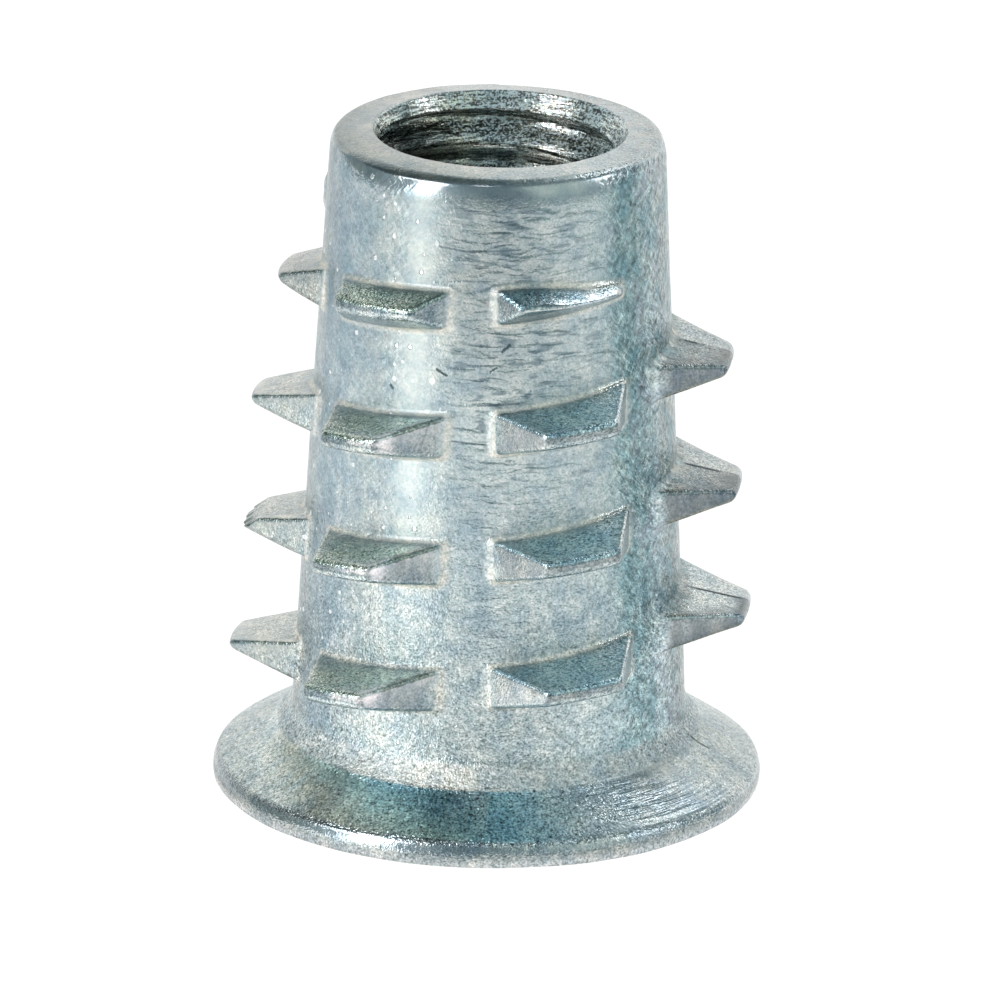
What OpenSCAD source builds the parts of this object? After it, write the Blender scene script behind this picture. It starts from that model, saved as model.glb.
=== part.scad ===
// Flanged insert nut for wood: a die cast sleeve with a tapped bore,
// broken wood-thread ribs outside and a hex socket in the flange end.
// Stands on its flange. +Z runs up the bore axis, the origin is the
// centre of the flange face. Millimetres.

/* [Sleeve] */
// Height from the flange face to the mouth of the bore
total_h = 15; // [12:0.5:20]
// Sleeve diameter where it would meet the flange face
base_d = 8.94; // [8.6:0.02:9.4]
// Sleeve diameter at the mouth
top_d = 7.32; // [7.1:0.02:7.6]
// Width of the flat ring round the mouth that is left by the rounded edge
ring_w = 0.5; // [0.3:0.05:0.7]
// Height of the rounded edge at the mouth
edge_h = 0.34; // [0.2:0.02:0.5]

/* [Flange] */
// Flange diameter
flange_d = 12.2; // [11.8:0.1:13]
// Height of the upright rim band
rim_h = 0.4; // [0.3:0.05:0.6]
// Height at which the sloping flange meets the sleeve
cone_h = 1.43; // [1.2:0.01:1.6]
// Radius of the fillet between sleeve and flange
fillet_r = 0.48; // [0.2:0.02:0.6]
// Radius of the rim's lower edge
rim_r = 0.12; // [0.05:0.01:0.15]

/* [Wood thread] */
// Lead of the broken wood thread
pitch = 2.88; // [2.8:0.02:2.94]
// Height of the middle of the lowest rib
rib_z0 = 2.31; // [2.2:0.01:2.4]
// Bearing of the lowest rib, from -Y towards +X
rib_az0 = -156.6; // [-180:0.2:180]
// Number of ribs, six to a turn
rib_count = 22; // [12:1:22]
// Half of the angle that a rib takes at its root
rib_half = 23.6; // [20:0.2:26]
// Height of a rib at its root
rib_root_h = 0.97; // [0.9:0.01:1.1]
// Height of a rib at its crest
rib_crest_h = 0.34; // [0.2:0.02:0.4]
// How far the middle of the crest sits above the middle of the root
rib_crest_up = 0.12; // [0:0.02:0.16]
// Half of the length of a rib's crest
rib_crest_half = 0.78; // [0.6:0.02:1]
// Crest radius of the lowest ribs
crest_r0 = 5.84; // [5.6:0.02:5.9]
// Crest radius lost for each millimetre of height
crest_drop = 0.078; // [0.07:0.001:0.085]
// Height on the axis of the shallow cone that trims the last two ribs
trim_h = 14.42; // [14.3:0.02:14.8]

/* [Bore] */
// Bore at the crests of the machine thread (M6 x 1)
bore_d = 5.0; // [4.92:0.01:5.15]
// Diameter of the countersink at the mouth
mouth_d = 5.6; // [5.3:0.02:6]
// Depth of the countersink
mouth_depth = 0.48; // [0.2:0.02:0.6]

/* [Hex socket] */
// Width across the flats of the hex socket
hex_af = 6; // [5.9:0.05:6.1]
// Depth of the hex socket
hex_depth = 4.5; // [4.3:0.1:6]
// Depth of the cone from the socket's floor into the bore
hex_lead = 0.4; // [0.2:0.05:0.6]

/* [Hidden] */
$fn = 96;
base_r = base_d / 2;
top_r = top_d / 2;
bore_r = bore_d / 2;
mouth_r = mouth_d / 2;
rim_R = flange_d / 2;
hex_R = hex_af / 2 / cos(30);
zinc = [0.68, 0.73, 0.75];

// Sleeve radius at height z
function sleeve_r(z) = base_r - (base_r - top_r) * z / total_h;

// Points on a quarter of an ellipse between two directions
function arc_pts(cx, cz, rx, rz, a0, a1, n) =
    [for (i = [0:n]) let (a = a0 + (a1 - a0) * i / n) [cx + rx * cos(a), cz + rz * sin(a)]];

// Fillet between the flange slope and the sleeve: the slope and the
// sleeve both pass through the corner [sleeve_r(cone_h), cone_h]
corner = [sleeve_r(cone_h), cone_h];
slope_a = atan2(rim_h - cone_h, rim_R - 0.06 - corner[0]);
wall_a = 90 + atan2(base_r - top_r, total_h);
half_a = (wall_a - slope_a) / 2;
tan_len = fillet_r / tan(half_a);
mid_a = slope_a + half_a;
fillet_c = [corner[0] + fillet_r / sin(half_a) * cos(mid_a),
            corner[1] + fillet_r / sin(half_a) * sin(mid_a)];

// Outline of the sleeve and flange, right of the axis
outline = concat(
    [[0, 0]],
    arc_pts(rim_R - rim_r, rim_r, rim_r, rim_r, -90, 0, 4),
    [[rim_R - 0.03, rim_h - 0.05], [rim_R - 0.08, rim_h]],
    arc_pts(fillet_c[0], fillet_c[1], fillet_r, fillet_r, slope_a - 90, wall_a - 270, 5),
    arc_pts(sleeve_r(total_h - edge_h) - edge_h * 0.9, total_h - edge_h,
            edge_h * 0.9, edge_h - 0.06, 0, 70, 5),
    [[mouth_r + ring_w, total_h - 0.04], [mouth_r + 0.02, total_h], [0, total_h]]
);

// Crest radius of a rib at height z: it follows a shallow cone, and the
// last four ribs fade out towards the mouth
fade_z = 8.45;
function crest_r(z) = z < rib_z0 + fade_z ?
    crest_r0 - crest_drop * (z - rib_z0) :
    crest_r0 - crest_drop * fade_z - 0.14 - (z - rib_z0 - fade_z) * 0.38;

// One rib, a hip-roofed block: long root, short crest, four sloping sides.
// Its root runs inside the sleeve wall so that it joins it all round.
module rib(az, z) {
    rs = sleeve_r(z);
    rt = crest_r(z);
    ri = rs - 0.75;
    // root half length on the sleeve, taken inwards along the end faces
    xs = rs * sin(rib_half);
    ys = rs * cos(rib_half);
    k = (xs - rib_crest_half) / (rt - ys);
    xi = xs + k * (ys - ri);
    // upper and lower flanks, at the crest and inside the wall
    cu = rib_crest_up + rib_crest_h / 2;
    cl = rib_crest_up - rib_crest_h / 2;
    iu = rib_root_h / 2 + (rib_root_h / 2 - cu) * (rs - ri) / (rt - rs);
    il = -rib_root_h / 2 - (rib_root_h / 2 + cl) * (rs - ri) / (rt - rs);
    xc = rib_crest_half;
    translate([0, 0, z])
        rotate([0, 0, az])
            rotate([0, -atan(pitch / (2 * PI * rs)), 0])
                polyhedron(
                    points = [
                        [-xi, -ri, il], [xi, -ri, il], [xi, -ri, iu], [-xi, -ri, iu],
                        [-xc, -rt, cl], [xc, -rt, cl], [xc, -rt, cu], [-xc, -rt, cu]
                    ],
                    faces = [
                        [0, 1, 2, 3], [7, 6, 5, 4],
                        [4, 5, 1, 0], [5, 6, 2, 1], [6, 7, 3, 2], [7, 4, 0, 3]
                    ]);
}

// The whole insert is one casting
module insert() {
    color(zinc)
    difference() {
        union() {
            rotate_extrude() polygon(outline);
            for (i = [0:rib_count - 3])
                rib(rib_az0 + 60 * i, rib_z0 + pitch / 6 * i);
            // the last two ribs are trimmed from above
            for (i = [rib_count - 2:rib_count - 1])
                intersection() {
                    rib(rib_az0 + 60 * i, rib_z0 + pitch / 6 * i);
                    cylinder(h = trim_h, r1 = trim_h * 2, r2 = 0);
                }
        }
        // bore, open through to the hex socket
        translate([0, 0, hex_depth / 2])
            cylinder(h = total_h, r = bore_r);
        // countersink at the mouth
        translate([0, 0, total_h - mouth_depth])
            cylinder(h = mouth_depth * 2, r1 = bore_r, r2 = 2 * mouth_r - bore_r);
        // cone from the socket's floor into the bore
        translate([0, 0, hex_depth - 0.01])
            cylinder(h = hex_lead, r1 = hex_af / 2 - 0.05, r2 = bore_r - 0.02);
        // hex socket in the flange end
        translate([0, 0, -1])
            cylinder(h = hex_depth + 1, r = hex_R, $fn = 6);
    }
}

insert();
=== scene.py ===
import math
import time

import bpy
import numpy as np
from mathutils import Matrix, Vector


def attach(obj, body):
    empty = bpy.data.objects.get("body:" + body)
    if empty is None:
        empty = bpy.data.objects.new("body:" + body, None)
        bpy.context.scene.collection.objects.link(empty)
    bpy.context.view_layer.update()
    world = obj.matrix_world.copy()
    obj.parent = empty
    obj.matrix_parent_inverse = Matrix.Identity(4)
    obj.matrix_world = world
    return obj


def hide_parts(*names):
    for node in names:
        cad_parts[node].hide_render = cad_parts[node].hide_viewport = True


T0 = time.time()
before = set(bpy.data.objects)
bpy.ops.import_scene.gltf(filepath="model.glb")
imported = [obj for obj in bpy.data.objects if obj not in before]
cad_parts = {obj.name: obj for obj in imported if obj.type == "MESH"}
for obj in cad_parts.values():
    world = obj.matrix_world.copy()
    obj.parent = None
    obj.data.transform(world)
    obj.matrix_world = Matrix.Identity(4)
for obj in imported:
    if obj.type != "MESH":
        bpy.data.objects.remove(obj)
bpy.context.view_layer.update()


F = np.float32

# ---------------------------------------------------------------- sizes, mm
H = 15.0                       # height over all
RB0, RBK = 4.466, 0.05393      # sleeve radius at z = 0, and its loss per mm
RING_R, RING_SLOPE = 2.78, 0.12
RIM_R = 6.075
CONE_R, CONE_Z = 4.389, 1.43  # the flange's slope would meet the sleeve here
PITCH = 2.883                  # lead of the wood thread
Z0 = 2.28                      # middle of the lowest rib
AZ0 = -156.6                   # its bearing, from -Y towards +X
N_RIB = 22


def smax(a, b, r):
    """Intersection with a round edge of radius r."""
    u = np.maximum(a + F(r), 0)
    v = np.maximum(b + F(r), 0)
    return np.minimum(np.maximum(a, b), F(-r)) + np.sqrt(u * u + v * v)


def smin(a, b, r):
    """Union with a fillet of radius r."""
    u = np.maximum(F(r) - a, 0)
    v = np.maximum(F(r) - b, 0)
    return np.maximum(np.minimum(a, b), F(r)) - np.sqrt(u * u + v * v)


def lump(x, y, z, seed, freq):
    """Smooth repeatable noise, about -1 to 1: sines along seeded directions."""
    rng = np.random.RandomState(seed)
    out = np.zeros_like(x)
    for i in range(7):
        d = rng.normal(size=3)
        d = d / np.linalg.norm(d) * freq * (0.6 + 0.9 * rng.rand())
        ph = rng.rand() * 6.2832
        d2 = rng.normal(size=3)
        d2 = d2 / np.linalg.norm(d2) * freq * 0.7
        w = np.sin(F(d2[0]) * x + F(d2[1]) * y + F(d2[2]) * z + F(ph * 2)) * F(0.9)
        out += np.sin(F(d[0]) * x + F(d[1]) * y + F(d[2]) * z + F(ph) + w)
    return out / F(3.2)


# per rib: bearing, middle height, crest radius, end faces
IDX = np.arange(N_RIB)
RIB_AZ = (AZ0 + 60.0 * IDX + 180.0) % 360.0 - 180.0
RIB_Z = Z0 + PITCH / 6.0 * IDX
COL = IDX % 6                  # 0: -156.6, 1: -96.6, 2: -36.6, 3: 23.4, 4: 83.4, 5: 143.4
RIB_RC = 5.82 - 0.0762 * (RIB_Z - 2.28)
RIB_RC[COL == 4] = 5.774 - 0.0875 * (RIB_Z[COL == 4] - 4.2)
RIB_RC[COL == 5] = 5.80 - 0.080 * (RIB_Z[COL == 5] - 3.0)
RIB_RC[18:] = (4.95, 4.79, 4.56, 4.44)         # the highest four are lower
# end faces: half angle at the root and slope from the rib's own direction
L_ROOT = np.where(COL == 3, 24.2, 23.6).astype(float)
R_ROOT = np.where(COL == 2, 22.8, 23.6).astype(float)
L_SL = np.where(COL == 3, 22.4, np.where(COL == 2, 26.5, 27.0))
R_SL = np.where(COL == 3, 28.9, np.where(COL == 2, 28.0, 27.0))
# section of each column of ribs: upper and lower flank at the root, then at the crest
HUR = np.array([0.485, 0.470, 0.485, 0.485, 0.430, 0.485])
HLR = np.array([-0.485, -0.485, -0.485, -0.485, -0.430, -0.485])
HUC = np.array([0.290, 0.215, 0.290, 0.290, 0.160, 0.290])
HLC = np.array([-0.05, 0.035, -0.05, -0.05, -0.100, -0.05])


def ribs(r, az, z):
    """Distance to the nearest rib. az in degrees."""
    c = np.rint((az - F(AZ0)) / F(60.0))
    a = az - (F(AZ0) + c * F(60.0))                   # bearing from the rib's middle
    c = np.mod(c, 6)
    zz = z - F(PITCH / 360.0) * a
    m = np.rint((zz - F(Z0) - F(PITCH / 6.0) * c) / F(PITCH))
    i = (c + 6 * m).astype(np.int32)
    ok = (i >= 0) & (i < N_RIB)
    ii = np.clip(i, 0, N_RIB - 1)
    zc = RIB_Z.astype(F)[ii] + F(PITCH / 360.0) * a   # helix through the rib
    rc = RIB_RC.astype(F)[ii]
    ar = np.radians(a)
    xt, yt = r * np.sin(ar), r * np.cos(ar)
    rb = F(RB0) - F(RBK) * RIB_Z.astype(F)[ii]
    t = (r - rb) / (rc - rb)
    col = np.mod(ii, 6)
    hu = HUR.astype(F)[col] + (HUC - HUR).astype(F)[col] * t
    hl = HLR.astype(F)[col] + (HLC - HLR).astype(F)[col] * t
    # the two halves of the mould meet on the column at 83.4: its far half sits lower
    far = np.clip((a - F(1.2)) / F(1.0), 0, 1) * (col == 4)
    zc = zc - far * (F(0.05) + F(0.0065) * np.maximum(a - F(1.2), 0) * np.clip(t, 0, 1.2))
    du = (z - zc - hu) * F(0.985)
    dl = (zc + hl - z) * F(0.95)
    # end faces, upright planes
    lr, rr = np.radians(L_ROOT).astype(F)[ii], np.radians(R_ROOT).astype(F)[ii]
    ls, rs = np.radians(L_SL).astype(F)[ii], np.radians(R_SL).astype(F)[ii]
    e1 = (xt - rb * np.sin(rr)) * np.cos(rs) + (yt - rb * np.cos(rr)) * np.sin(rs)
    e0 = (-xt - rb * np.sin(lr)) * np.cos(ls) + (yt - rb * np.cos(lr)) * np.sin(ls)
    dc = r - rc
    denv = (z + F(0.5) * r - F(14.42) - F(0.12) * np.exp(-((a + 14) / 14) ** 2) * (ii == 21)
            + F(0.005) * np.maximum(a, 0) * (ii == 21)) / F(1.118)     # and fade out towards the mouth
    d = smax(du, denv, 0.16)
    d = smax(d, dl, 0.07)
    d = smax(d, dc, 0.13)
    d = smax(d, np.maximum(e0, e1), 0.09)
    # the third rib up on the left has lost the upper corner of its crest
    chip = ((z - zc) + F(0.85) * (r - F(5.31)) - F(0.165) + F(0.018) * np.sin(a * F(0.9)) + F(0.012) * np.sin(a * F(2.3) + r * 9)) / F(1.31)
    d = np.where(ii == 7, smax(d, chip, 0.03), d)
    return np.where(ok, d, F(9.0)), ii


def outside(x, y, z):
    r = np.sqrt(x * x + y * y)
    azr = np.arctan2(x, -y)
    az = np.degrees(azr)
    rb = F(RB0) - F(RBK) * z
    db = (r - rb) * F(0.9986)
    dtop = (z - (F(H) - F(RING_SLOPE) * np.maximum(r - F(RING_R), 0))) * F(0.993)
    sm = lambda v: np.clip(v, 0, 1) ** 2 * (3 - 2 * np.clip(v, 0, 1))
    zb = F(14.56) + F(0.28) * sm((-az - F(45)) / F(40)) + F(0.17) * sm((az - F(25)) / F(35))
    dbev = (r - rb) * F(0.891) + (z - zb) * F(0.454)            # the mouth's worn outer edge
    d = smax(smax(db, dbev, 0.13), dtop, 0.12)
    # flange: a slope down to an upright rim whose height varies a little
    zt = z - F(0.0067) * x
    ze = F(0.43) + F(0.10) * np.cos(azr + F(math.radians(35)))
    k = (F(CONE_Z) - ze) / F(6.035 - CONE_R)
    dcone = (zt - (F(CONE_Z) - k * (r - F(CONE_R)))) * F(0.855)
    drim = r - (F(RIM_R) + F(0.012) - F(0.004) * x - F(0.45) * (zt - F(0.14)) ** 2)
    dfac = (r - F(RIM_R + 0.012) + F(0.004) * x) * F(0.891) + (zt - F(0.31)) * F(0.454)
    df = smax(smax(dcone, dfac, 0.07), drim, 0.05)
    d = smin(d, df, 0.47)
    # parting line: a burr up the left side, near the mouth
    bur = np.sqrt((az + F(93.5)) ** 2 * F(0.0045) + ((z - F(13.45)) * F(0.30)) ** 2 + ((r - rb) * F(1.0)) ** 2) - F(0.085)
    bur = bur + F(0.02) * np.sin(z * 9)
    d = smin(d, bur, 0.06)
    dr, _ = ribs(r, az, z)
    d = smin(d, dr, 0.12)
    return smax(d, -z, 0.05)


THREAD_AZ = -96.0              # the internal thread starts here


def hollow(x, y, z):
    """Distance to the empty space inside: socket, tapped bore, countersink."""
    r = np.sqrt(x * x + y * y)
    az = np.degrees(np.arctan2(x, -y))
    # machine thread, 1 mm pitch, right hand
    s = z - F(14.58) - (az - F(THREAD_AZ)) / F(360.0)
    depth = F(0.225) + F(0.225) * np.cos(F(6.28319) * s)
    fade = np.clip((z - F(4.6)) / F(0.6), 0, 1) * np.clip((F(14.78) - z) / F(0.28), 0, 1)
    rg = F(2.5) + depth * fade
    dth = (r - rg) * F(0.62)
    dth = np.maximum(dth, F(4.3) - z)
    # countersink, a little off the axis
    rc = np.sqrt((x - F(0.05)) ** 2 + (y - F(0.06)) ** 2)
    dcs = (rc - (F(2.80) - (F(H) - z) * F(0.62))) * F(0.85)
    d = np.minimum(dth, np.maximum(dcs, F(14.3) - z))
    # hex socket, flats along X
    ax, ay = np.abs(x), np.abs(y)
    hx = np.maximum(ay, ax * F(0.8660254) + ay * F(0.5)) - F(3.0)
    dh = smax(hx, z - F(4.5), 0.05)
    lead = (r - (F(2.95) - (z - F(4.5)) * F(1.1))) * F(0.67)
    d = np.minimum(d, np.maximum(lead, F(4.3) - z))
    d = np.minimum(d, dh)
    # small break of the socket's edge
    d = np.minimum(d, (hx + z - F(0.10)) * F(0.707))
    return d


def sdf(x, y, z):
    return smax(outside(x, y, z), -hollow(x, y, z), 0.03)


def full(x, y, z):
    d = sdf(x, y, z)
    n = F(0.006) * lump(x, y, z, 3, 2.4) + F(0.0035) * lump(x, y, z, 5, 6.5)
    return d - n


# ---------------------------------------------------------------- mesh
def build(h):
    lo = np.array([-6.3, -6.3, -0.2])
    B = 4
    nb = np.ceil((np.array([12.6, 12.6, 15.4]) / h + 1) / B).astype(int)
    n = nb * B
    hb = h * B
    ax = [lo[k] + hb * (np.arange(nb[k]) + 0.5) - h / 2 for k in range(3)]
    X, Y, Z = np.meshgrid(*[a.astype(F) for a in ax], indexing="ij")
    D = sdf(X.ravel(), Y.ravel(), Z.ravel()).reshape(X.shape)
    act = np.abs(D) < hb * 0.5 * 1.7321 * 1.15 + h * 0.5
    V = np.repeat(np.repeat(np.repeat(np.sign(D) * F(1.0), B, 0), B, 1), B, 2).astype(F)
    bi, bj, bk = np.nonzero(act)
    off = np.arange(B)
    oi, oj, ok = [o.ravel() for o in np.meshgrid(off, off, off, indexing="ij")]
    CH = 12000
    for s in range(0, len(bi), CH):
        gi = (bi[s:s + CH, None] * B + oi[None]).ravel()
        gj = (bj[s:s + CH, None] * B + oj[None]).ravel()
        gk = (bk[s:s + CH, None] * B + ok[None]).ravel()
        V[gi, gj, gk] = sdf((lo[0] + h * gi).astype(F), (lo[1] + h * gj).astype(F), (lo[2] + h * gk).astype(F))
    print("grid", n, "active", len(bi), "t", round(time.time() - T0, 1))
    S = V < 0
    cnt = np.zeros(np.array(S.shape) - 1, np.uint8)
    for a in (0, 1):
        for b in (0, 1):
            for c in (0, 1):
                cnt += S[a:S.shape[0] - 1 + a, b:S.shape[1] - 1 + b, c:S.shape[2] - 1 + c]
    ci, cj, ck = np.nonzero((cnt > 0) & (cnt < 8))
    idx = np.full(cnt.shape, -1, np.int32)
    idx[ci, cj, ck] = np.arange(len(ci), dtype=np.int32)
    P = np.zeros((len(ci), 3), np.float64)
    W = np.zeros(len(ci))
    edges = []
    for axis in range(3):
        o = [k for k in range(3) if k != axis]
        for u in (0, 1):
            for v in (0, 1):
                a = [0, 0, 0]
                a[o[0]], a[o[1]] = u, v
                b = list(a)
                b[axis] = 1
                edges.append((a, b, axis))
    for a, b, axis in edges:
        va = V[ci + a[0], cj + a[1], ck + a[2]]
        vb = V[ci + b[0], cj + b[1], ck + b[2]]
        m = (va < 0) != (vb < 0)
        t = va[m] / (va[m] - vb[m])
        q = np.tile(np.array(a, float), (m.sum(), 1))
        q[:, axis] += t
        P[m] += q
        W[m] += 1
    P = P / W[:, None] + np.stack([ci, cj, ck], 1)
    P = lo + h * P
    quads = []
    for axis in range(3):
        o1, o2 = [(1, 2), (2, 0), (0, 1)][axis]
        sl0 = [slice(None)] * 3
        sl1 = [slice(None)] * 3
        sl0[axis] = slice(0, -1)
        sl1[axis] = slice(1, None)
        A, Bv = S[tuple(sl0)], S[tuple(sl1)]
        e = np.array(np.nonzero(A != Bv))
        keep = (e[o1] > 0) & (e[o2] > 0)
        e = e[:, keep]
        inside = A[tuple(e)]
        def cell(d1, d2):
            q = e.copy()
            q[o1] -= d1
            q[o2] -= d2
            return idx[tuple(q)]
        q = np.stack([cell(1, 1), cell(0, 1), cell(0, 0), cell(1, 0)], 1)
        q[~inside] = q[~inside][:, ::-1]
        quads.append(q)
    return P, np.concatenate(quads)


def grad(P, fn, e=0.004):
    x, y, z = [P[:, k].astype(F) for k in range(3)]
    e = F(e)
    g = np.stack([fn(x + e, y, z) - fn(x - e, y, z), fn(x, y + e, z) - fn(x, y - e, z), fn(x, y, z + e) - fn(x, y, z - e)], 1)
    return g.astype(float) / (2 * float(e))


def settle(P, fn, steps, cap):
    for _ in range(steps):
        g = grad(P, fn)
        d = fn(*[P[:, k].astype(F) for k in range(3)]).astype(float)
        g2 = np.maximum((g * g).sum(1), 0.15)
        st = -d[:, None] * g / g2[:, None]
        ln = np.linalg.norm(st, axis=1)
        st *= np.minimum(1, cap / np.maximum(ln, 1e-9))[:, None]
        P = P + st
    return P


h = 0.052
P, Q = build(h)
print("raw", len(P), "verts", len(Q), "quads", round(time.time() - T0, 1))
P = settle(P, sdf, 1, h * 0.6)
me = bpy.data.meshes.new("raw")
me.vertices.add(len(P))
me.vertices.foreach_set("co", P.astype(F).ravel())
me.loops.add(len(Q) * 4)
me.loops.foreach_set("vertex_index", Q.astype(np.int32).ravel())
me.polygons.add(len(Q))
me.polygons.foreach_set("loop_start", np.arange(len(Q), dtype=np.int32) * 4)
me.update(calc_edges=True)
me.validate()
raw = bpy.data.objects.new("raw", me)
bpy.context.scene.collection.objects.link(raw)
dec = raw.modifiers.new("dec", "DECIMATE")
dec.decimate_type = "COLLAPSE"
dec.ratio = min(1.0, (194000) / (2.0 * len(Q)))
dec.use_collapse_triangulate = True
dg = bpy.context.evaluated_depsgraph_get()
out = bpy.data.meshes.new_from_object(raw.evaluated_get(dg))
bpy.data.objects.remove(raw)
print("decimated", len(out.vertices), len(out.polygons), round(time.time() - T0, 1))
co = np.zeros(len(out.vertices) * 3, F)
out.vertices.foreach_get("co", co)
P = settle(co.reshape(-1, 3).astype(float), full, 3, 0.03)
N = grad(P, full, 0.006)
N /= np.maximum(np.linalg.norm(N, axis=1), 1e-9)[:, None]
P[:, 2] = np.maximum(P[:, 2], 0.0)
out.vertices.foreach_set("co", (P * 0.001).astype(F).ravel())
out.update()
out.polygons.foreach_set("use_smooth", np.ones(len(out.polygons), bool))
out.normals_split_custom_set_from_vertices(N.astype(F))
out.name = "insert_cast"


def paint(P, N):
    """Tone of the plating and state of the surface at each vertex, from where it is on the part. Much of the tone is
    painted light and shade: bands by bearing, lit and shaded faces, painted highlights and painted dark reflections.
    """
    x, y, z = [P[:, k].astype(F) for k in range(3)]
    r = np.sqrt(x * x + y * y)
    az = np.degrees(np.arctan2(x, -y))
    rb = F(RB0) - F(RBK) * z
    n = [N[:, k].astype(F) for k in range(3)]
    q = F(0.20)
    cav = 1 - sdf(x + n[0] * q, y + n[1] * q, z + n[2] * q) / q          # 0 flat, 1 in a corner
    edg = 1 + sdf(x - n[0] * q, y - n[1] * q, z - n[2] * q) / q          # 0 flat, 1 on an edge
    cav = np.clip(cav * 1.4 - 0.06, 0, 1)
    dr, ii = ribs(r, az, z)
    edg = np.clip(edg * 2.2 - 0.10, 0, 1)
    S = lambda v, a, b: np.clip((v - a) / (b - a), 0, 1) ** 2 * (3 - 2 * np.clip((v - a) / (b - a), 0, 1))
    bore = (outside(x, y, z) < -0.03) & (z > 0.02)
    inside = bore | (z < 0.02)
    rib = S(r - rb, 0.10, 0.22) * (z > 1.7) * (~inside)
    cone = S(r - rb, 0.20, 0.34) * (z < 1.45) * S(n[2], 0.45, 0.6)
    rim = (r > 5.86) * (1 - S(n[2], 0.62, 0.80))
    bevel = S(n[2], 0.22, 0.34) * (1 - S(n[2], 0.62, 0.80)) * ((r > 5.86) | ((z > 14.4) & (~inside)))
    ring = S(z, 14.5, 14.8) * S(n[2], 0.3, 0.6) * (~inside)
    flat = 1 - np.maximum.reduce([rib, cone, rim, ring, inside.astype(F)])
    col = np.ones((len(r), 3)) * np.array([0.435, 0.520, 0.540])

    def blend(m, c):
        col[:] = col + (np.array(c) - col) * np.clip(m, 0, 1)[:, None]

    big = lump(x, y, z, 11, 0.9)
    mid = lump(x, y, z, 12, 2.6)
    near = lambda a0, w: np.exp(-(((az - a0 + 180) % 360 - 180) / w) ** 2)
    blend(flat * np.clip(0.30 + 0.5 * big, 0, 1) * 0.8, (0.475, 0.530, 0.520))       # greyer
    blend(flat * np.clip(-0.10 - 0.5 * big, 0, 1) * 0.8, (0.400, 0.510, 0.560))      # bluer
    blend(flat * near(-60, 14) * 0.8, (0.400, 0.510, 0.570))
    # Lighter and darker bands by bearing and height round the sleeve: painted reflections and painted shade.
    blend(flat * near(48, 10) * 0.85, (0.320, 0.460, 0.480))
    blend(flat * near(85, 12) * 0.5, (0.50, 0.56, 0.53))
    col *= (1 - 0.14 * flat * S(-az, 48, 62) - 0.17 * flat * S(az, 60, 70))[:, None]
    col *= (1 + 0.15 * flat * near(14, 15) + 0.14 * flat * S(-z, -4.2, -3.2) * near(35, 20) - 0.07 * flat * S(-az, 35, 50) * S(z, 10, 11.5))[:, None]
    col *= (1 + flat * near(-4, 24) * (0.12 - 0.30 * S(z, 8.5, 13)))[:, None]
    col *= (1 - 0.07 * flat * near(-29, 9) - 0.15 * flat * near(9, 18) + 0.18 * flat * near(62, 7) - 0.12 * flat * near(76, 5) - 0.15 * flat * near(-79, 6))[:, None]
    # ribs: upper flanks, ends and crests, lower flanks, by column; each face's tone is painted light or shade, lit
    # and shaded copies of the plating, with gradients across the flanks
    cc = ii % 6
    a = (az - RIB_AZ.astype(F)[ii] + 180) % 360 - 180
    up = S(n[2], 0.30, 0.50)
    low = S(-n[2], 0.05, 0.25)
    fl = np.array([[.50, .56, .50], [.50, .545, .525], [.505, .60, .525], [.50, .69, .77], [.62, .70, .71], [.50, .56, .50]], F)
    en = np.array([[.46, .53, .53], [.47, .52, .505], [.205, .26, .275], [.27, .315, .32], [.19, .245, .285], [.46, .53, .53]], F)
    lo_ = np.array([[.46, .53, .53], [.41, .45, .43], [.46, .53, .535], [.46, .53, .535], [.270, .270, .175], [.46, .53, .53]], F)
    tn = fl[cc] * up[:, None] + en[cc] * ((1 - up) * (1 - low))[:, None] + lo_[cc] * low[:, None]
    tn += ((ii == 4) * (1 - up) * (1 - low))[:, None] * np.array([0.22, 0.23, 0.22], F)
    tn *= (1 - 0.26 * (ii == 19))[:, None]
    # Right third of the front-right column's upper flanks painted near white: a painted highlight; the same mask
    # lowers roughness and drives the white grains.
    right = (cc == 3) * up * S(a, 4, 14)
    tn *= (1 + (cc == 2) * up * (0.42 * S(a, -16, 8) - 0.16))[:, None]
    tn *= (1 - 0.42 * (ii == 4) * low)[:, None]
    tn *= (1 - 0.20 * (cc == 4) * (ii > 4) * up)[:, None]
    tn *= (1 - 0.30 * (cc == 4) * (ii > 4) * up * (a < 1.2))[:, None]
    tn += (np.array([0.86, 0.97, 1.0], F) - tn) * right[:, None]
    col[:] = col + (tn - col) * rib[:, None]
    az_ = az
    lean = lambda a0, w: np.exp(-((az_ + 30 * (5.4 - r) * (az_ < 0) - a0) / w) ** 2)
    # Flange slope: the dark teal front, the light and olive bands by bearing and the darker inner left are painted
    # reflections and painted shade; the diagonal band on the right is polished and painted lighter, a painted
    # highlight.
    blend(cone, (0.50, 0.575, 0.58))
    blend(cone * lean(-6, 21) * 1.3, (0.25, 0.44, 0.52))
    blend(cone * lean(-26, 11) * 0.75, (0.60, 0.84, 0.79))
    blend(cone * lean(-64, 12) * 0.85, (0.74, 0.84, 0.83))
    blend(cone * lean(-46, 9) * 0.9, (0.62, 0.66, 0.58))
    blend(cone * S(-r, -5.25, -4.85) * np.exp(-((az + 52) / 12) ** 2) * 0.25, (0.26, 0.34, 0.33))
    polish_and_painted_highlight = cone * np.exp(-((az - 31 - 27 * (r - 4.95)) / 11) ** 2)
    blend(cone * near(52, 12) * 0.6, (0.41, 0.47, 0.48))
    blend(polish_and_painted_highlight, (0.54, 0.63, 0.67))
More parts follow.
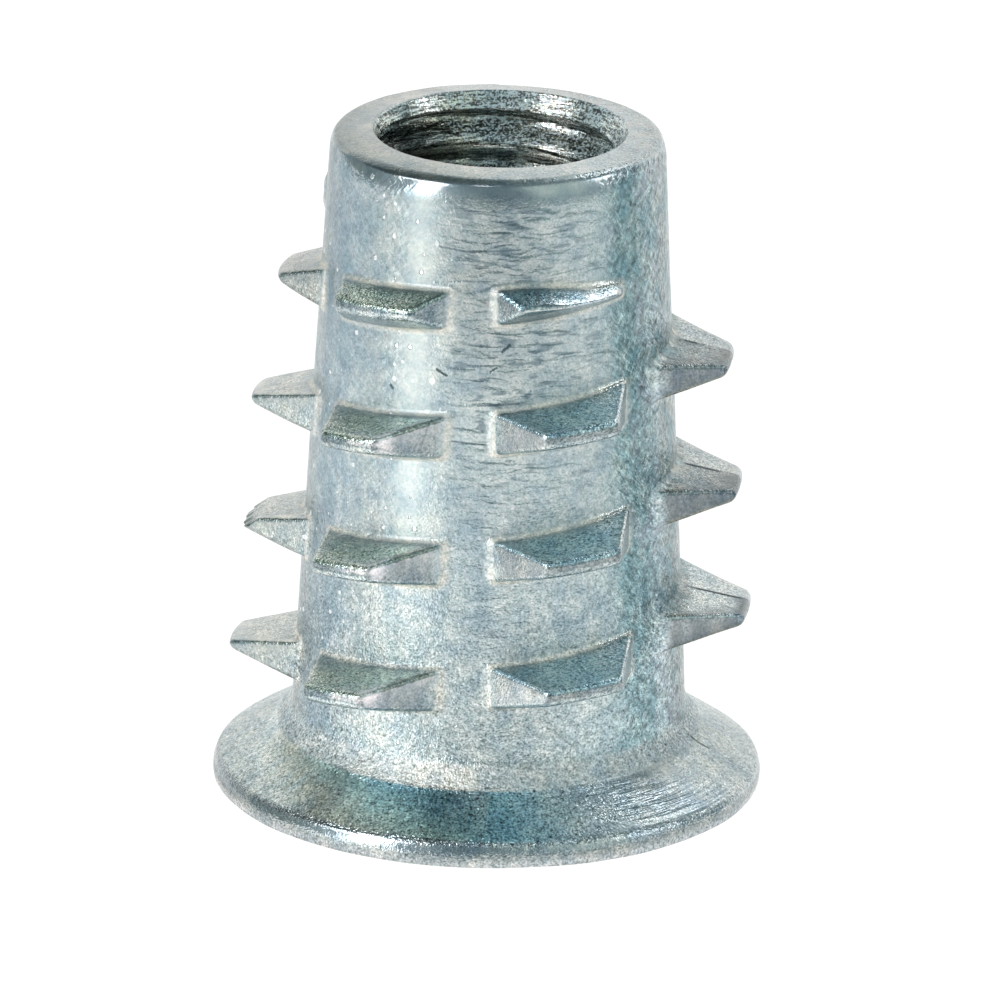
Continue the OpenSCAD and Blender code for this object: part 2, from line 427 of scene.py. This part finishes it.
    # Rim tone by bearing: lighter to the right and front with a painted highlight near -24, darker towards the left:
    # painted light and shade.
    col[:] = col + (np.array([0.355, 0.39, 0.385]) * (1 + 0.15 * S(az, 20, 70) + 0.30 * near(-24, 14) + 0.16 * near(8, 26) - 0.42 * S(-az, 58, 78))[:, None] - col) * rim[:, None]
    back = S(np.abs(az), 110, 150)
    blend(ring, (0.48, 0.53, 0.52))
    # Ring top lighter at the front right, darker at the left and back: painted light and shade by bearing.
    blend(ring * near(25, 45), (0.62, 0.695, 0.70))
    blend(ring * near(-80, 60), (0.355, 0.40, 0.395))
    col *= (1 - 0.20 * ring * S(az, 30, 60) - 0.40 * ring * near(158, 17))[:, None]
    blend(ring * back, (0.42, 0.455, 0.44))
    blend(ring * near(150, 20), (0.31, 0.34, 0.315))
    blend(bevel, (0.52, 0.58, 0.60))
    # Bevel darker at both sides and the front left, and the rim's upper edge at the front left: painted shade.
    blend(bevel * S(z, 14, 14.3) * np.maximum(near(-85, 18), near(88, 16)), (0.38, 0.42, 0.43))
    # Dark line along the mouth's outer edge: a painted dark reflection.
    lip_painted_reflection = S(n[2], 0.46, 0.58) * (1 - S(n[2], 0.88, 0.96)) * (z > 14.5) * (~inside) * (r > 3.2) * np.clip(near(-25, 46), 0, 1)
    blend(bevel * S(z, 14, 14.3) * near(-58, 20) * 0.5, (0.22, 0.26, 0.27))
    blend(lip_painted_reflection * 0.5, (0.15, 0.175, 0.19))
    blend(rim * bevel * S(-az, 32, 48) * S(az, -110, -96) * 0.55, (0.14, 0.17, 0.17))
    halo = S(-dr, -0.12, -0.03) * S(rb + 0.12 - r, 0, 0.05) * (1 - inside) * (1 - 0.75 * (cc == 4)) * (1 - 0.6 * S(np.abs(a), 22.8, 24.2))
    foot = S(-z, -1.86, -1.66) * S(z, 1.22, 1.32) * (r < 4.72) * (1 - inside)
    corner = np.maximum(np.maximum(halo, cav * (1 - inside) * (1 - cone * 0.95) * (z > 2.0)), foot * 0.8)
    blend(foot, (0.55, 0.61, 0.62))
    blend(foot * near(-14, 28), (0.82, 0.81, 0.76))
    blend(np.maximum(halo, corner * (z >= 2.0)) * 0.85, (0.80, 0.79, 0.73))
    blend(edg * (1 - inside) * (1 - bevel) * 0.7 * (cc != 1), (0.54, 0.575, 0.585))
    # Edges between upper flank and end on the left column painted dark: painted shade.
    blend(edg * rib * (cc == 1) * S(n[2], 0.1, 0.25) * (1 - S(n[2], 0.75, 0.85)), (0.12, 0.17, 0.17))
    # Edges of the right column's near half painted near black: painted shadow of the parting step.
    blend(edg * rib * (cc == 4) * (a < 1.2) * S(-z, -13.2, -12.8) * 0.8, (0.07, 0.09, 0.095))
    # Bright crest edges on the front-left column: a painted highlight, with a little more roughness.
    painted_crest_glint = edg * rib * (cc == 2) * S(az, -38.0, -36.0) * S(-az, 25.5, 27.5) * S(r - rb, 0.5, 0.8)
    blend(painted_crest_glint, (1.0, 0.95, 0.96))
    blend(edg * rib * (cc == 2) * S(az, -26.5, -25.0) * S(n[2], 0.05, 0.2) * 0.8, (0.11, 0.11, 0.10))
    # Narrow lighter and darker stripes on the flange slope by bearing: painted reflections.
    col *= (1 + cone * (0.28 * near(10, 7) - 0.32 * near(-11, 7) - 0.35 * near(-41, 5)))[:, None]
    blend(inside, (0.40, 0.43, 0.39))
    # Bore tone; the bright bearings are a painted highlight and the dark back left a painted shade.
    blend(bore, (0.80, 0.88, 0.84))
    blend(bore * (near(-152, 16) + near(155, 14)), (1.0, 1.0, 0.86))
    blend(bore * near(-130, 26) * (1 - S(z, 14.3, 14.5)), (0.10, 0.12, 0.12))
    col *= (1 + 0.045 * mid + 0.03 * big)[:, None]
    rough = 0.29 + 0.0 * r
    rough += (0.62 - rough) * corner
    rough += (0.15 - rough) * edg * (1 - inside) * 0.9
    rough += (0.24 - rough) * rib * (1 - edg) * (1 - corner)
    rough += (0.15 - rough) * bevel
    rough += (0.34 - rough) * painted_crest_glint
    rough += (0.13 - rough) * np.maximum(polish_and_painted_highlight, right)
    rough += (0.20 - rough) * inside
    lowdown = S(-z, -9.0, -2.0)
    grain = flat * (0.33 + 0.45 * lowdown) * (1 + 0.45 * S(az, 40, 52)) * (1 - 0.75 * near(-28, 10) * S(z, 5, 8)) * (1 + 0.4 * lowdown * S(-az, 42, 52))
    grain = grain + 0.62 * rib + 0.85 * cone * (1 - 0.75 * near(45, 20)) + 0.6 * rim + 0.35 * ring + 0.25 * inside
    grain = grain * (1 - 0.92 * np.maximum(edg * (1 - rim), bevel * (1 - 0.5 * rim * (1 - near(-27, 13)))))
    wave = flat * (1 - corner) * (1 - S(z, 14.25, 14.45)) * (0.10 + 0.9 * near(8, 30) * S(az, -24, -12)) * (0.34 + 0.66 * S(z, 6.5, 10))
    mottle = flat * (1 - corner) * S(az, 34, 48) + 0.35 * flat * (1 - corner) * S(-az, 20, 40)
    spark = right * (1 - corner) * 0.8
    turned = cone * 0.35 + 0.65 * polish_and_painted_highlight
    grunge = np.maximum.reduce([0.48 * rib * up * (cc >= 2) * (1 - 0.75 * (cc == 4)), cone * near(0, 38) * 0.45, 0.12 * rib, 0.12 * rim])
    grunge = np.clip(grunge * (1 - 0.6 * corner), 0, 1)
    return (col, np.stack([rough, np.clip(grain, 0, 1), np.clip(wave, 0, 1)], 1), np.stack([turned, flat, grunge], 1),
            np.stack([bore.astype(F), mottle, spark], 1))


for name, v in zip(("tone", "skin", "place", "more"), paint(P, N)):
    a = out.attributes.new(name, "FLOAT_COLOR", "POINT")
    rgba = np.ones((len(P), 4), F)
    rgba[:, :3] = np.clip(v, 0, 1)
    a.data.foreach_set("color", rgba.ravel())
piece = bpy.data.objects.new("insert_cast", out)
bpy.context.scene.collection.objects.link(piece)
print("mesh done", round(time.time() - T0, 1))

# ---------------------------------------------------------------- material
def tree(nt):
    """Small helpers that add nodes to a tree."""
    L = nt.links

    def put(node, i, v):
        if v is None:
            return
        if hasattr(v, "is_output") or isinstance(v, bpy.types.NodeSocket):
            L.new(v, node.inputs[i])
        else:
            node.inputs[i].default_value = v

    def M(op, a, b=None, c=None, clamp=False):
        n = nt.nodes.new("ShaderNodeMath")
        n.operation = op
        n.use_clamp = clamp
        put(n, 0, a)
        put(n, 1, b)
        put(n, 2, c)
        return n.outputs[0]

    def V(op, a, b=None, scale=None):
        n = nt.nodes.new("ShaderNodeVectorMath")
        n.operation = op
        put(n, 0, a)
        put(n, 1, b)
        if scale is not None:
            put(n, 3, scale)
        return n.outputs["Value"] if op in ("DOT_PRODUCT", "LENGTH", "DISTANCE") else n.outputs[0]

    def step(x, lo, hi, a=0.0, b=1.0):
        n = nt.nodes.new("ShaderNodeMapRange")
        n.interpolation_type = "SMOOTHSTEP"
        put(n, 0, x)
        put(n, 1, lo)
        put(n, 2, hi)
        put(n, 3, a)
        put(n, 4, b)
        return n.outputs[0]

    def mix(f, a, b, blend="MIX"):
        n = nt.nodes.new("ShaderNodeMix")
        n.data_type = "RGBA"
        n.blend_type = blend
        put(n, 0, f)
        put(n, 6, a)
        put(n, 7, b)
        return n.outputs[2]

    def xyz(x, y, z):
        n = nt.nodes.new("ShaderNodeCombineXYZ")
        put(n, 0, x)
        put(n, 1, y)
        put(n, 2, z)
        return n.outputs[0]

    def noise(vec, scale, detail=2.0, rough=0.5, dist=0.0):
        n = nt.nodes.new("ShaderNodeTexNoise")
        put(n, "Vector", vec)
        put(n, "Scale", scale)
        put(n, "Detail", detail)
        put(n, "Roughness", rough)
        put(n, "Distortion", dist)
        return n.outputs["Fac"]

    def voronoi(vec, scale, feature="F1", out="Distance", rnd=1.0):
        n = nt.nodes.new("ShaderNodeTexVoronoi")
        n.feature = feature
        put(n, "Vector", vec)
        put(n, "Scale", scale)
        put(n, "Randomness", rnd)
        return n.outputs[out]

    return M, V, step, mix, xyz, noise, voronoi


mat = bpy.data.materials.new("zinc_plate")
mat.use_nodes = True
nt = mat.node_tree
bsdf = nt.nodes["Principled BSDF"]
bsdf.inputs["Metallic"].default_value = 1.0
M, V, step, mix, xyz, noise, voronoi = tree(nt)


def attr(name):
    n = nt.nodes.new("ShaderNodeAttribute")
    n.attribute_name = name
    s3 = nt.nodes.new("ShaderNodeSeparateColor")
    nt.links.new(n.outputs["Color"], s3.inputs[0])
    return n.outputs["Color"], s3.outputs


# tone holds the plating's colour together with the painted light and shade from paint().
tone, _ = attr("tone")
_, (ROUGH, GRAIN, WAVE) = attr("skin")
_, (CONE, FLAT, GRUNGE) = attr("place")
_, (BORE, MOTTLE, SPARK) = attr("more")
obj = nt.nodes.new("ShaderNodeTexCoord").outputs["Object"]
P3 = V("SCALE", obj, scale=1000.0)                     # mm
s3 = nt.nodes.new("ShaderNodeSeparateXYZ")
nt.links.new(P3, s3.inputs[0])
X, Y, Z = s3.outputs
R = M("SQRT", M("ADD", M("MULTIPLY", X, X), M("MULTIPLY", Y, Y)))
AZ = M("ARCTAN2", X, M("MULTIPLY", Y, -1.0))           # radians
U = M("MULTIPLY", AZ, 4.2)                             # mm round the sleeve


def seg(p0, p1, w):
    """1 on a short line on the sleeve between two (bearing, height) points, 0 beyond half width w."""
    k = math.radians(1) * 4.2
    ax, ay, bx, by = p0[0] * k, p0[1], p1[0] * k, p1[1]
    L2 = (bx - ax) ** 2 + (by - ay) ** 2
    du, dv = M("SUBTRACT", U, ax), M("SUBTRACT", Z, ay)
    t = M("ADD", M("MULTIPLY", du, (bx - ax) / L2), M("MULTIPLY", dv, (by - ay) / L2), clamp=True)
    e = M("SUBTRACT", du, M("MULTIPLY", t, bx - ax))
    f = M("SUBTRACT", dv, M("MULTIPLY", t, by - ay))
    d = M("SQRT", M("ADD", M("MULTIPLY", e, e), M("MULTIPLY", f, f)))
    return step(d, w * 1.15, w * 0.2)


def dot(p, rad, k=1.0):
    """1 on a round spot on the sleeve at a (bearing, height)."""
    du = M("SUBTRACT", U, p[0] * math.radians(1) * 4.2)
    dv = M("SUBTRACT", Z, p[1])
    d = M("SQRT", M("ADD", M("MULTIPLY", du, du), M("MULTIPLY", dv, dv)))
    return step(d, rad, rad * 0.5, 0.0, k)


def any_of(items):
    out = items[0]
    for i in items[1:]:
        out = M("MAXIMUM", out, i)
    return out


# marks seen on the sleeve: (bearing, height) in degrees and mm
HAIR = [(-35.1, 1.96), (-36.0, 1.80), (-34.2, 1.76), (-34.9, 1.61), (-37.5, 1.50), (-39.6, 1.35)]
HAIR2 = [(19.3, 2.54), (20.9, 2.39), (23.0, 2.23), (24.9, 2.11), (26.8, 2.23)]
HAIR3 = [(24.9, 2.11), (24.4, 1.94), (24.4, 1.74), (26.1, 1.56)]
hairs = any_of([seg(a, b, 0.024) for h in (HAIR, HAIR2, HAIR3) for a, b in zip(h[:-1], h[1:])])
nicks = any_of([seg((5.0, 11.31), (2.6, 11.17), 0.042), seg((0.9, 10.80), (-1.1, 10.70), 0.036),
                seg((-18.6, 10.68), (-15.2, 10.56), 0.034), seg((-34.9, 10.12), (-34.2, 10.08), 0.05)])
lines = any_of([seg((-19, 13.43), (-7, 13.36), 0.034), seg((-9, 13.38), (8, 13.44), 0.030), seg((-5, 9.93), (8, 9.99), 0.034),
                seg((-13, 9.10), (-2, 9.06), 0.028)])
spots = any_of([dot((-33.6, 10.30), 0.070), dot((-26.8, 10.33), 0.045), dot((-41.5, 14.32), 0.05), dot((-36.5, 14.2), 0.05),
                dot((-20.0, 10.40), 0.085), dot((-33.8, 10.62), 0.045), dot((-30.8, 10.72), 0.045)])

# grain of the casting under the plating
C = lambda v: M("SUBTRACT", v, 0.5)
g1 = noise(P3, 13.0, 1.0, 0.55)
g2 = noise(P3, 27.0, 0.0, 0.5)
g3 = noise(P3, 4.0, 1.0, 0.5)
h = M("MULTIPLY", M("ADD", M("MULTIPLY", C(g1), M("ADD", 0.022, M("MULTIPLY", SPARK, 0.019))), M("MULTIPLY", C(g2), 0.019)), GRAIN)
h = M("ADD", h, M("MULTIPLY", C(g3), step(Z, 13.9, 14.45, 0.010, 0.0)))
# short waves along the sleeve's front, left by turning the mould
w1 = noise(xyz(M("MULTIPLY", U, 1.35), M("MULTIPLY", Z, 5.0), R), 1.0, 1.0, 0.45, 0.6)
h = M("ADD", h, M("MULTIPLY", M("MULTIPLY", C(w1), 0.066), WAVE))
# turned rings on the flange
t1 = noise(xyz(M("MULTIPLY", AZ, 3.6), 0.0, M("MULTIPLY", R, 12.0)), 1.0, 1.0, 0.6)
h = M("ADD", h, M("MULTIPLY", M("MULTIPLY", C(t1), 0.055), CONE))
# tool marks round the bore
t2 = noise(xyz(M("MULTIPLY", AZ, 6.0), 0.0, M("MULTIPLY", Z, 17.0)), 1.0, 2.0, 0.6)
h = M("ADD", h, M("MULTIPLY", M("MULTIPLY", C(t2), 0.032), BORE))
# crossing scratches on the right side
ca = noise(xyz(M("ADD", M("MULTIPLY", U, 2.2), M("MULTIPLY", Z, 3.2)), M("MULTIPLY", M("SUBTRACT", Z, U), 6.0), 0.0), 1.0, 1.0, 0.5, 0.4)
cb = noise(xyz(M("SUBTRACT", M("MULTIPLY", U, 2.0), M("MULTIPLY", Z, 3.4)), M("MULTIPLY", M("ADD", Z, U), 5.5), 3.0), 1.0, 1.0, 0.5, 0.4)
cx_ = M("MULTIPLY", M("SUBTRACT", M("ADD", ca, cb), 1.0), MOTTLE)
h = M("ADD", h, M("MULTIPLY", cx_, 0.032))
# blisters: a few small round bumps
vb = nt.nodes.new("ShaderNodeTexVoronoi")
vb.voronoi_dimensions = "2D"
vb.inputs["Scale"].default_value = 1.7
nt.links.new(xyz(U, Z, 0.0), vb.inputs["Vector"])
sc_ = nt.nodes.new("ShaderNodeSeparateColor")
nt.links.new(vb.outputs["Color"], sc_.inputs[0])
size = M("MULTIPLY", sc_.outputs[1], 0.085)
bl = M("MULTIPLY", step(M("SUBTRACT", vb.outputs["Distance"], size), 0.045, 0.0), M("GREATER_THAN", sc_.outputs[0], 0.40))
bl = M("MULTIPLY", bl, M("MULTIPLY", FLAT, step(AZ, -0.22, -0.5)))
h = M("ADD", h, M("MULTIPLY", bl, 0.012))
h = M("SUBTRACT", h, M("MULTIPLY", nicks, 0.012))
bump = nt.nodes.new("ShaderNodeBump")
bump.inputs["Strength"].default_value = 1.0
bump.inputs["Distance"].default_value = 0.001
nt.links.new(h, bump.inputs["Height"])
nt.links.new(bump.outputs[0], bsdf.inputs["Normal"])

# colour: plating tone with fine speckle, dirt in the marks
sp = noise(P3, 10.0, 1.0, 0.6)
sq = noise(P3, 22.0, 0.0, 0.6)
amp = M("ADD", M("ADD", 0.12, M("MULTIPLY", GRAIN, 1.45)), M("MULTIPLY", GRUNGE, 2.0))
k = M("ADD", M("MULTIPLY", C(sp), 0.90), M("MULTIPLY", C(sq), 1.05))
k = M("MAXIMUM", M("ADD", 1.0, M("MULTIPLY", k, amp)), 0.05)
kk = xyz(M("MULTIPLY", k, M("ADD", M("MULTIPLY", C(sp), 0.25), 1.0)), k, k)
col = mix(1.0, tone, kk, "MULTIPLY")
mt = noise(P3, 1.9, 1.0, 0.5)
mk = C(mt)
col = mix(1.0, col, xyz(M("ADD", 1.0, M("MULTIPLY", mk, 0.90)), M("ADD", 1.0, M("MULTIPLY", mk, 0.66)), M("ADD", 1.0, M("MULTIPLY", mk, 0.44))), "MULTIPLY")
dk = noise(xyz(M("MULTIPLY", U, 1.7), M("MULTIPLY", Z, 6.2), R), 1.0, 1.0, 0.5, 0.5)
col = mix(M("MULTIPLY", step(dk, 0.44, 0.33, 0.0, 0.72), WAVE), col, (0.13, 0.19, 0.22, 1))
cp = noise(xyz(M("MULTIPLY", U, 1.6), M("MULTIPLY", Z, 1.0), 7.0), 1.0, 2.0, 0.6, 0.6)
col = mix(M("MULTIPLY", step(cp, 0.50, 0.38, 0.0, 0.60), MOTTLE), col, (0.20, 0.355, 0.40, 1))
col = mix(M("MULTIPLY", step(cp, 0.55, 0.70, 0.0, 0.55), MOTTLE), col, (0.44, 0.485, 0.56, 1))
ck = M("ADD", 1.0, M("MULTIPLY", cx_, 1.3))
col = mix(1.0, col, xyz(ck, ck, ck), "MULTIPLY")
bk = M("MULTIPLY", step(M("ADD", t2, M("MULTIPLY", C(sq), 0.35)), 0.38, 0.64, 0.17, 1.08), BORE)
bk = M("ADD", bk, M("SUBTRACT", 1.0, BORE))
col = mix(1.0, col, xyz(bk, bk, bk), "MULTIPLY")
col = mix(M("MULTIPLY", bl, 0.85), col, (0.95, 0.97, 0.97, 1))
col = mix(spots, col, (0.95, 0.97, 0.97, 1))
col = mix(M("MULTIPLY", lines, M("MULTIPLY", FLAT, 0.62)), col, (0.06, 0.10, 0.13, 1))
col = mix(M("MULTIPLY", nicks, 0.8), col, (0.03, 0.06, 0.07, 1))
# painted shadow of the parting step over the ribs on the right, and a crack at the flange's root
parting_shadow = M("MULTIPLY", step(M("MULTIPLY", M("ABSOLUTE", M("SUBTRACT", AZ, 1.460)), R), 0.062, 0.028), step(M("ADD", R, M("MULTIPLY", M("SUBTRACT", Z, 10.3), 0.19)), 4.60, 4.40))
parting_shadow = M("MULTIPLY", parting_shadow, M("MULTIPLY", M("SUBTRACT", 1.0, FLAT), M("MULTIPLY", M("GREATER_THAN", Z, 3.0), M("LESS_THAN", Z, 13.0))))
col = mix(M("MULTIPLY", parting_shadow, 0.95), col, (0.02, 0.04, 0.045, 1))
cx, cy = M("SUBTRACT", X, 4.520), M("SUBTRACT", Y, -1.211)
tt = M("ADD", M("MULTIPLY", cx, 2.739), M("MULTIPLY", cy, 0.296), clamp=True)
ex, ey = M("SUBTRACT", cx, M("MULTIPLY", tt, 0.361)), M("SUBTRACT", cy, M("MULTIPLY", tt, 0.039))
crack = M("MULTIPLY", step(M("SQRT", M("ADD", M("MULTIPLY", ex, ex), M("MULTIPLY", ey, ey))), 0.060, 0.025), M("LESS_THAN", Z, 1.7))
col = mix(M("MULTIPLY", crack, 0.85), col, (0.05, 0.10, 0.10, 1))
col = mix(M("MULTIPLY", hairs, 0.5), col, (0.16, 0.19, 0.18, 1))
# White, less metallic grains on the right third of the front-right column's upper flanks: a painted sparkle
# highlight.
painted_sparkle = M("MULTIPLY", step(M("ADD", M("MULTIPLY", g1, 0.7), M("MULTIPLY", sq, 0.3)), 0.505, 0.58), SPARK)
col = mix(painted_sparkle, col, (0.72, 0.84, 0.90, 1))
nt.links.new(M("SUBTRACT", 1.0, M("MULTIPLY", painted_sparkle, 0.85)), bsdf.inputs["Metallic"])
nt.links.new(col, bsdf.inputs["Base Color"])
rg = M("ADD", ROUGH, M("MULTIPLY", M("SUBTRACT", g3, 0.5), 0.12), clamp=True)
nt.links.new(rg, bsdf.inputs["Roughness"])
out.materials.clear()
out.materials.append(mat)

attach(piece, "root")
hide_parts("insert")

# ---------------------------------------------------------------- floor
bpy.ops.mesh.primitive_circle_add(vertices=96, radius=0.9, fill_type="NGON", location=(0, 0, 0))
floor = bpy.context.object
floor.name = "floor"
fm = bpy.data.materials.new("floor_white")
fm.use_nodes = True
fb = fm.node_tree.nodes["Principled BSDF"]
fb.inputs["Base Color"].default_value = (0.12, 0.12, 0.12, 1)
fb.inputs["Roughness"].default_value = 1.0
fb.inputs["Specular IOR Level"].default_value = 0.0
fb.inputs["Emission Color"].default_value = (1, 1, 1, 1)
fb.inputs["Emission Strength"].default_value = 1.0
floor.data.materials.append(fm)

# ---------------------------------------------------------------- light
sc = bpy.context.scene


def heading(az, el):
    """Direction at a bearing (0 towards the camera, + to its right) and height, in degrees."""
    a, e = math.radians(az), math.radians(el)
    return Vector((math.sin(a) * math.cos(e), -math.cos(a) * math.cos(e), math.sin(e)))


world = bpy.data.worlds.new("studio")
sc.world = world
world.use_nodes = True
wn = world.node_tree
bg = wn.nodes["Background"]
wM, wV, wstep, wmix, wxyz, wnoise, wvor = tree(wn)
tc = wn.nodes.new("ShaderNodeTexCoord")
ray = wV("NORMALIZE", tc.outputs["Generated"])
col = (0.42, 0.50, 0.52, 1)
# bearing, height, full inside, gone outside (degrees), colour
SKY = [
    (0, 66, 12, 34, (0.24, 0.34, 0.38)),
    (180, 80, 14, 46, (0.15, 0.21, 0.225)),
    (0, 30, 12, 30, (0.22, 0.29, 0.31)),
    (45, 34, 12, 28, (0.60, 0.70, 0.66)),
    (180, 8, 26, 46, (0.98, 0.965, 0.94)),
    (150, 18, 20, 32, (0.98, 0.965, 0.94)),
    (-150, 18, 18, 27, (0.98, 0.965, 0.94)),
    (-143, 38, 9, 17, (0.95, 0.97, 0.95)),
    (-98, 62, 14, 30, (0.14, 0.175, 0.16)),
    (-95, 40, 12, 22, (0.12, 0.15, 0.15)),
    (-100, 13, 9, 17, (0.36, 0.43, 0.43)),
    (102, 4, 12, 24, (0.25, 0.33, 0.35)),
    (104, 48, 8, 14, (0.18, 0.23, 0.24)),
    (80, 24, 6, 11, (2.0, 2.0, 2.05)),
    (80, 33, 6, 11, (2.0, 2.1, 2.2)),
    (-50, 34, 8, 13, (5.0, 5.0, 5.1)),
    (-54, 6, 7, 16, (2.2, 2.3, 2.35)),
    (-51, 21, 6, 11, (5.0, 5.0, 5.1)),
    (135, 58, 3, 7, (3.4, 3.4, 3.5)),
    (141, 46, 3, 7, (3.2, 3.2, 3.3)),
    (-72, 31, 4, 8, (3.6, 3.6, 3.7)),
    (-12, 57, 3, 6, (2.6, 2.6, 2.7)),
]
for az, el, r0, r1, c in SKY:
    d = wV("DOT_PRODUCT", ray, tuple(heading(az, el)))
    m = wstep(d, math.cos(math.radians(r1)), math.cos(math.radians(r0)))
    col = wmix(m, col, (*c, 1))
wn.links.new(col, bg.inputs["Color"])
bg.inputs["Strength"].default_value = 1.0


def wedge(name, az, half, r0, r1, color):
    """A reflector lying on the floor beside the part, which only reflections see."""
    z = 0.0001
    vs, n = [], 8
    for rr in (r0, r1):
        for i in range(n + 1):
            d = heading(az - half + 2 * half * i / n, 0)
            vs.append((d.x * rr, d.y * rr, z))
    fs = [(i, i + 1, n + 2 + i, n + 1 + i) for i in range(n)]
    m = bpy.data.meshes.new(name)
    m.from_pydata(vs, [], fs)
    o = bpy.data.objects.new(name, m)
    sc.collection.objects.link(o)
    k = bpy.data.materials.new(name)
    k.use_nodes = True
    b = k.node_tree.nodes["Principled BSDF"]
    b.inputs["Base Color"].default_value = (0, 0, 0, 1)
    b.inputs["Roughness"].default_value = 1.0
    b.inputs["Specular IOR Level"].default_value = 0.0
    b.inputs["Emission Color"].default_value = (*color, 1)
    b.inputs["Emission Strength"].default_value = 1.0
    m.materials.append(k)
    o.visible_camera = False
    o.visible_shadow = False
    o.visible_diffuse = False
    return o


wedge("reflector_left", -50, 11.5, 0.0068, 0.12, (2.1, 2.05, 2.0))
wedge("flag_right", 101, 17, 0.020, 0.15, (0.42, 0.50, 0.50))

# ---------------------------------------------------------------- camera
EYE = Vector((0.0, -0.2443126, 0.0929455))
RIGHT = Vector((0.99985503, 0.00503589, 0.0162652))
UP = Vector((-0.01701316, 0.33391426, 0.9424499))
FWD = Vector((0.00068511, 0.94259, -0.33395153))
cam = bpy.data.cameras.new("camera")
cam.sensor_fit = "HORIZONTAL"
cam.sensor_width = 36.0
cam.lens = 11723.6 * 36.0 / 1000.0
cam.clip_start = 0.01
cam.clip_end = 10
cam_ob = bpy.data.objects.new("camera", cam)
m = Matrix((RIGHT, UP, -FWD)).transposed().to_4x4()
m.translation = EYE
cam_ob.matrix_world = m
sc.collection.objects.link(cam_ob)
sc.camera = cam_ob

sc.view_settings.view_transform = "Standard"
sc.view_settings.look = "None"
sc.view_settings.exposure = 0.0
sc.view_settings.gamma = 1.0

bpy.context.view_layer.update()
print("scene done", round(time.time() - T0, 1))
